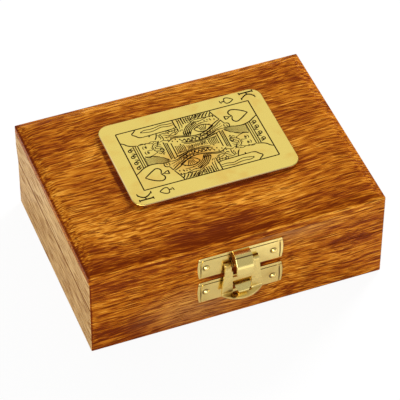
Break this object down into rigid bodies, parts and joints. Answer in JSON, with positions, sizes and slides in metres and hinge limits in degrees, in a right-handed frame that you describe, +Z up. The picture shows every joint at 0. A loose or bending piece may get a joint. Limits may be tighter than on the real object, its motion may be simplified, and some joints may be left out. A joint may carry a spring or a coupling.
{
  "type": "playing card box with hinged lid",
  "caption": "Small hardwood box for a deck of cards, with a hinged lid, a brass playing card on top and a brass hasp latch at the front.",
  "frame": {"origin": "centre of the base's underside, halfway along the box and halfway between the base's front and back faces", "axes": "+X to the right along the box's length, +Y from the latch at the front to the hinges at the back, +Z up"},
  "size_m": [0.1156, 0.0924, 0.0408],
  "materials": {
    "wood": "open-grained orange-brown hardwood with dark streaks, thin satin varnish",
    "card_brass": "pale brass sheet, brushed, with engraved and blackened lines",
    "latch_brass": "bright brass-plated pressed sheet",
    "hinge_brass": "brass-plated steel, slightly duller than the latch"
  },
  "bodies": {
    "base": {"base_front_wall": "wood", "base_back_wall": "wood", "base_left_wall": "wood", "base_right_wall": "wood", "base_bottom_panel": "wood", "base_latch_plate": "latch_brass", "base_latch_nails": "latch_brass", "hinge_base_leaf_left": "hinge_brass", "hinge_base_leaf_right": "hinge_brass", "hinge_pin_left": "hinge_brass", "hinge_pin_right": "hinge_brass", "hinge_base_nails": "hinge_brass"},
    "lid": {"lid_front_wall": "wood", "lid_back_wall": "wood", "lid_left_wall": "wood", "lid_right_wall": "wood", "lid_top_panel": "wood", "card_plate": "card_brass", "lid_latch_plate": "latch_brass", "latch_pin": "latch_brass", "lid_latch_nails": "latch_brass", "hinge_lid_leaf_left": "hinge_brass", "hinge_lid_leaf_right": "hinge_brass", "hinge_lid_nails": "hinge_brass"},
    "hasp": {"hasp": "latch_brass"}
  },
  "joints": [
    {"name": "lid_hinge", "type": "hinge", "parent": "base", "child": "lid", "pos_m": [0, 0.0434, 0.0218], "axis": [-1, 0, 0], "range_deg": [0, 180]},
    {"name": "hasp_swing", "type": "hinge", "parent": "lid", "child": "hasp", "pos_m": [0.0002, -0.0436, 0.0279], "axis": [-1, 0, 0], "range_deg": [0, 150]}
  ]
}
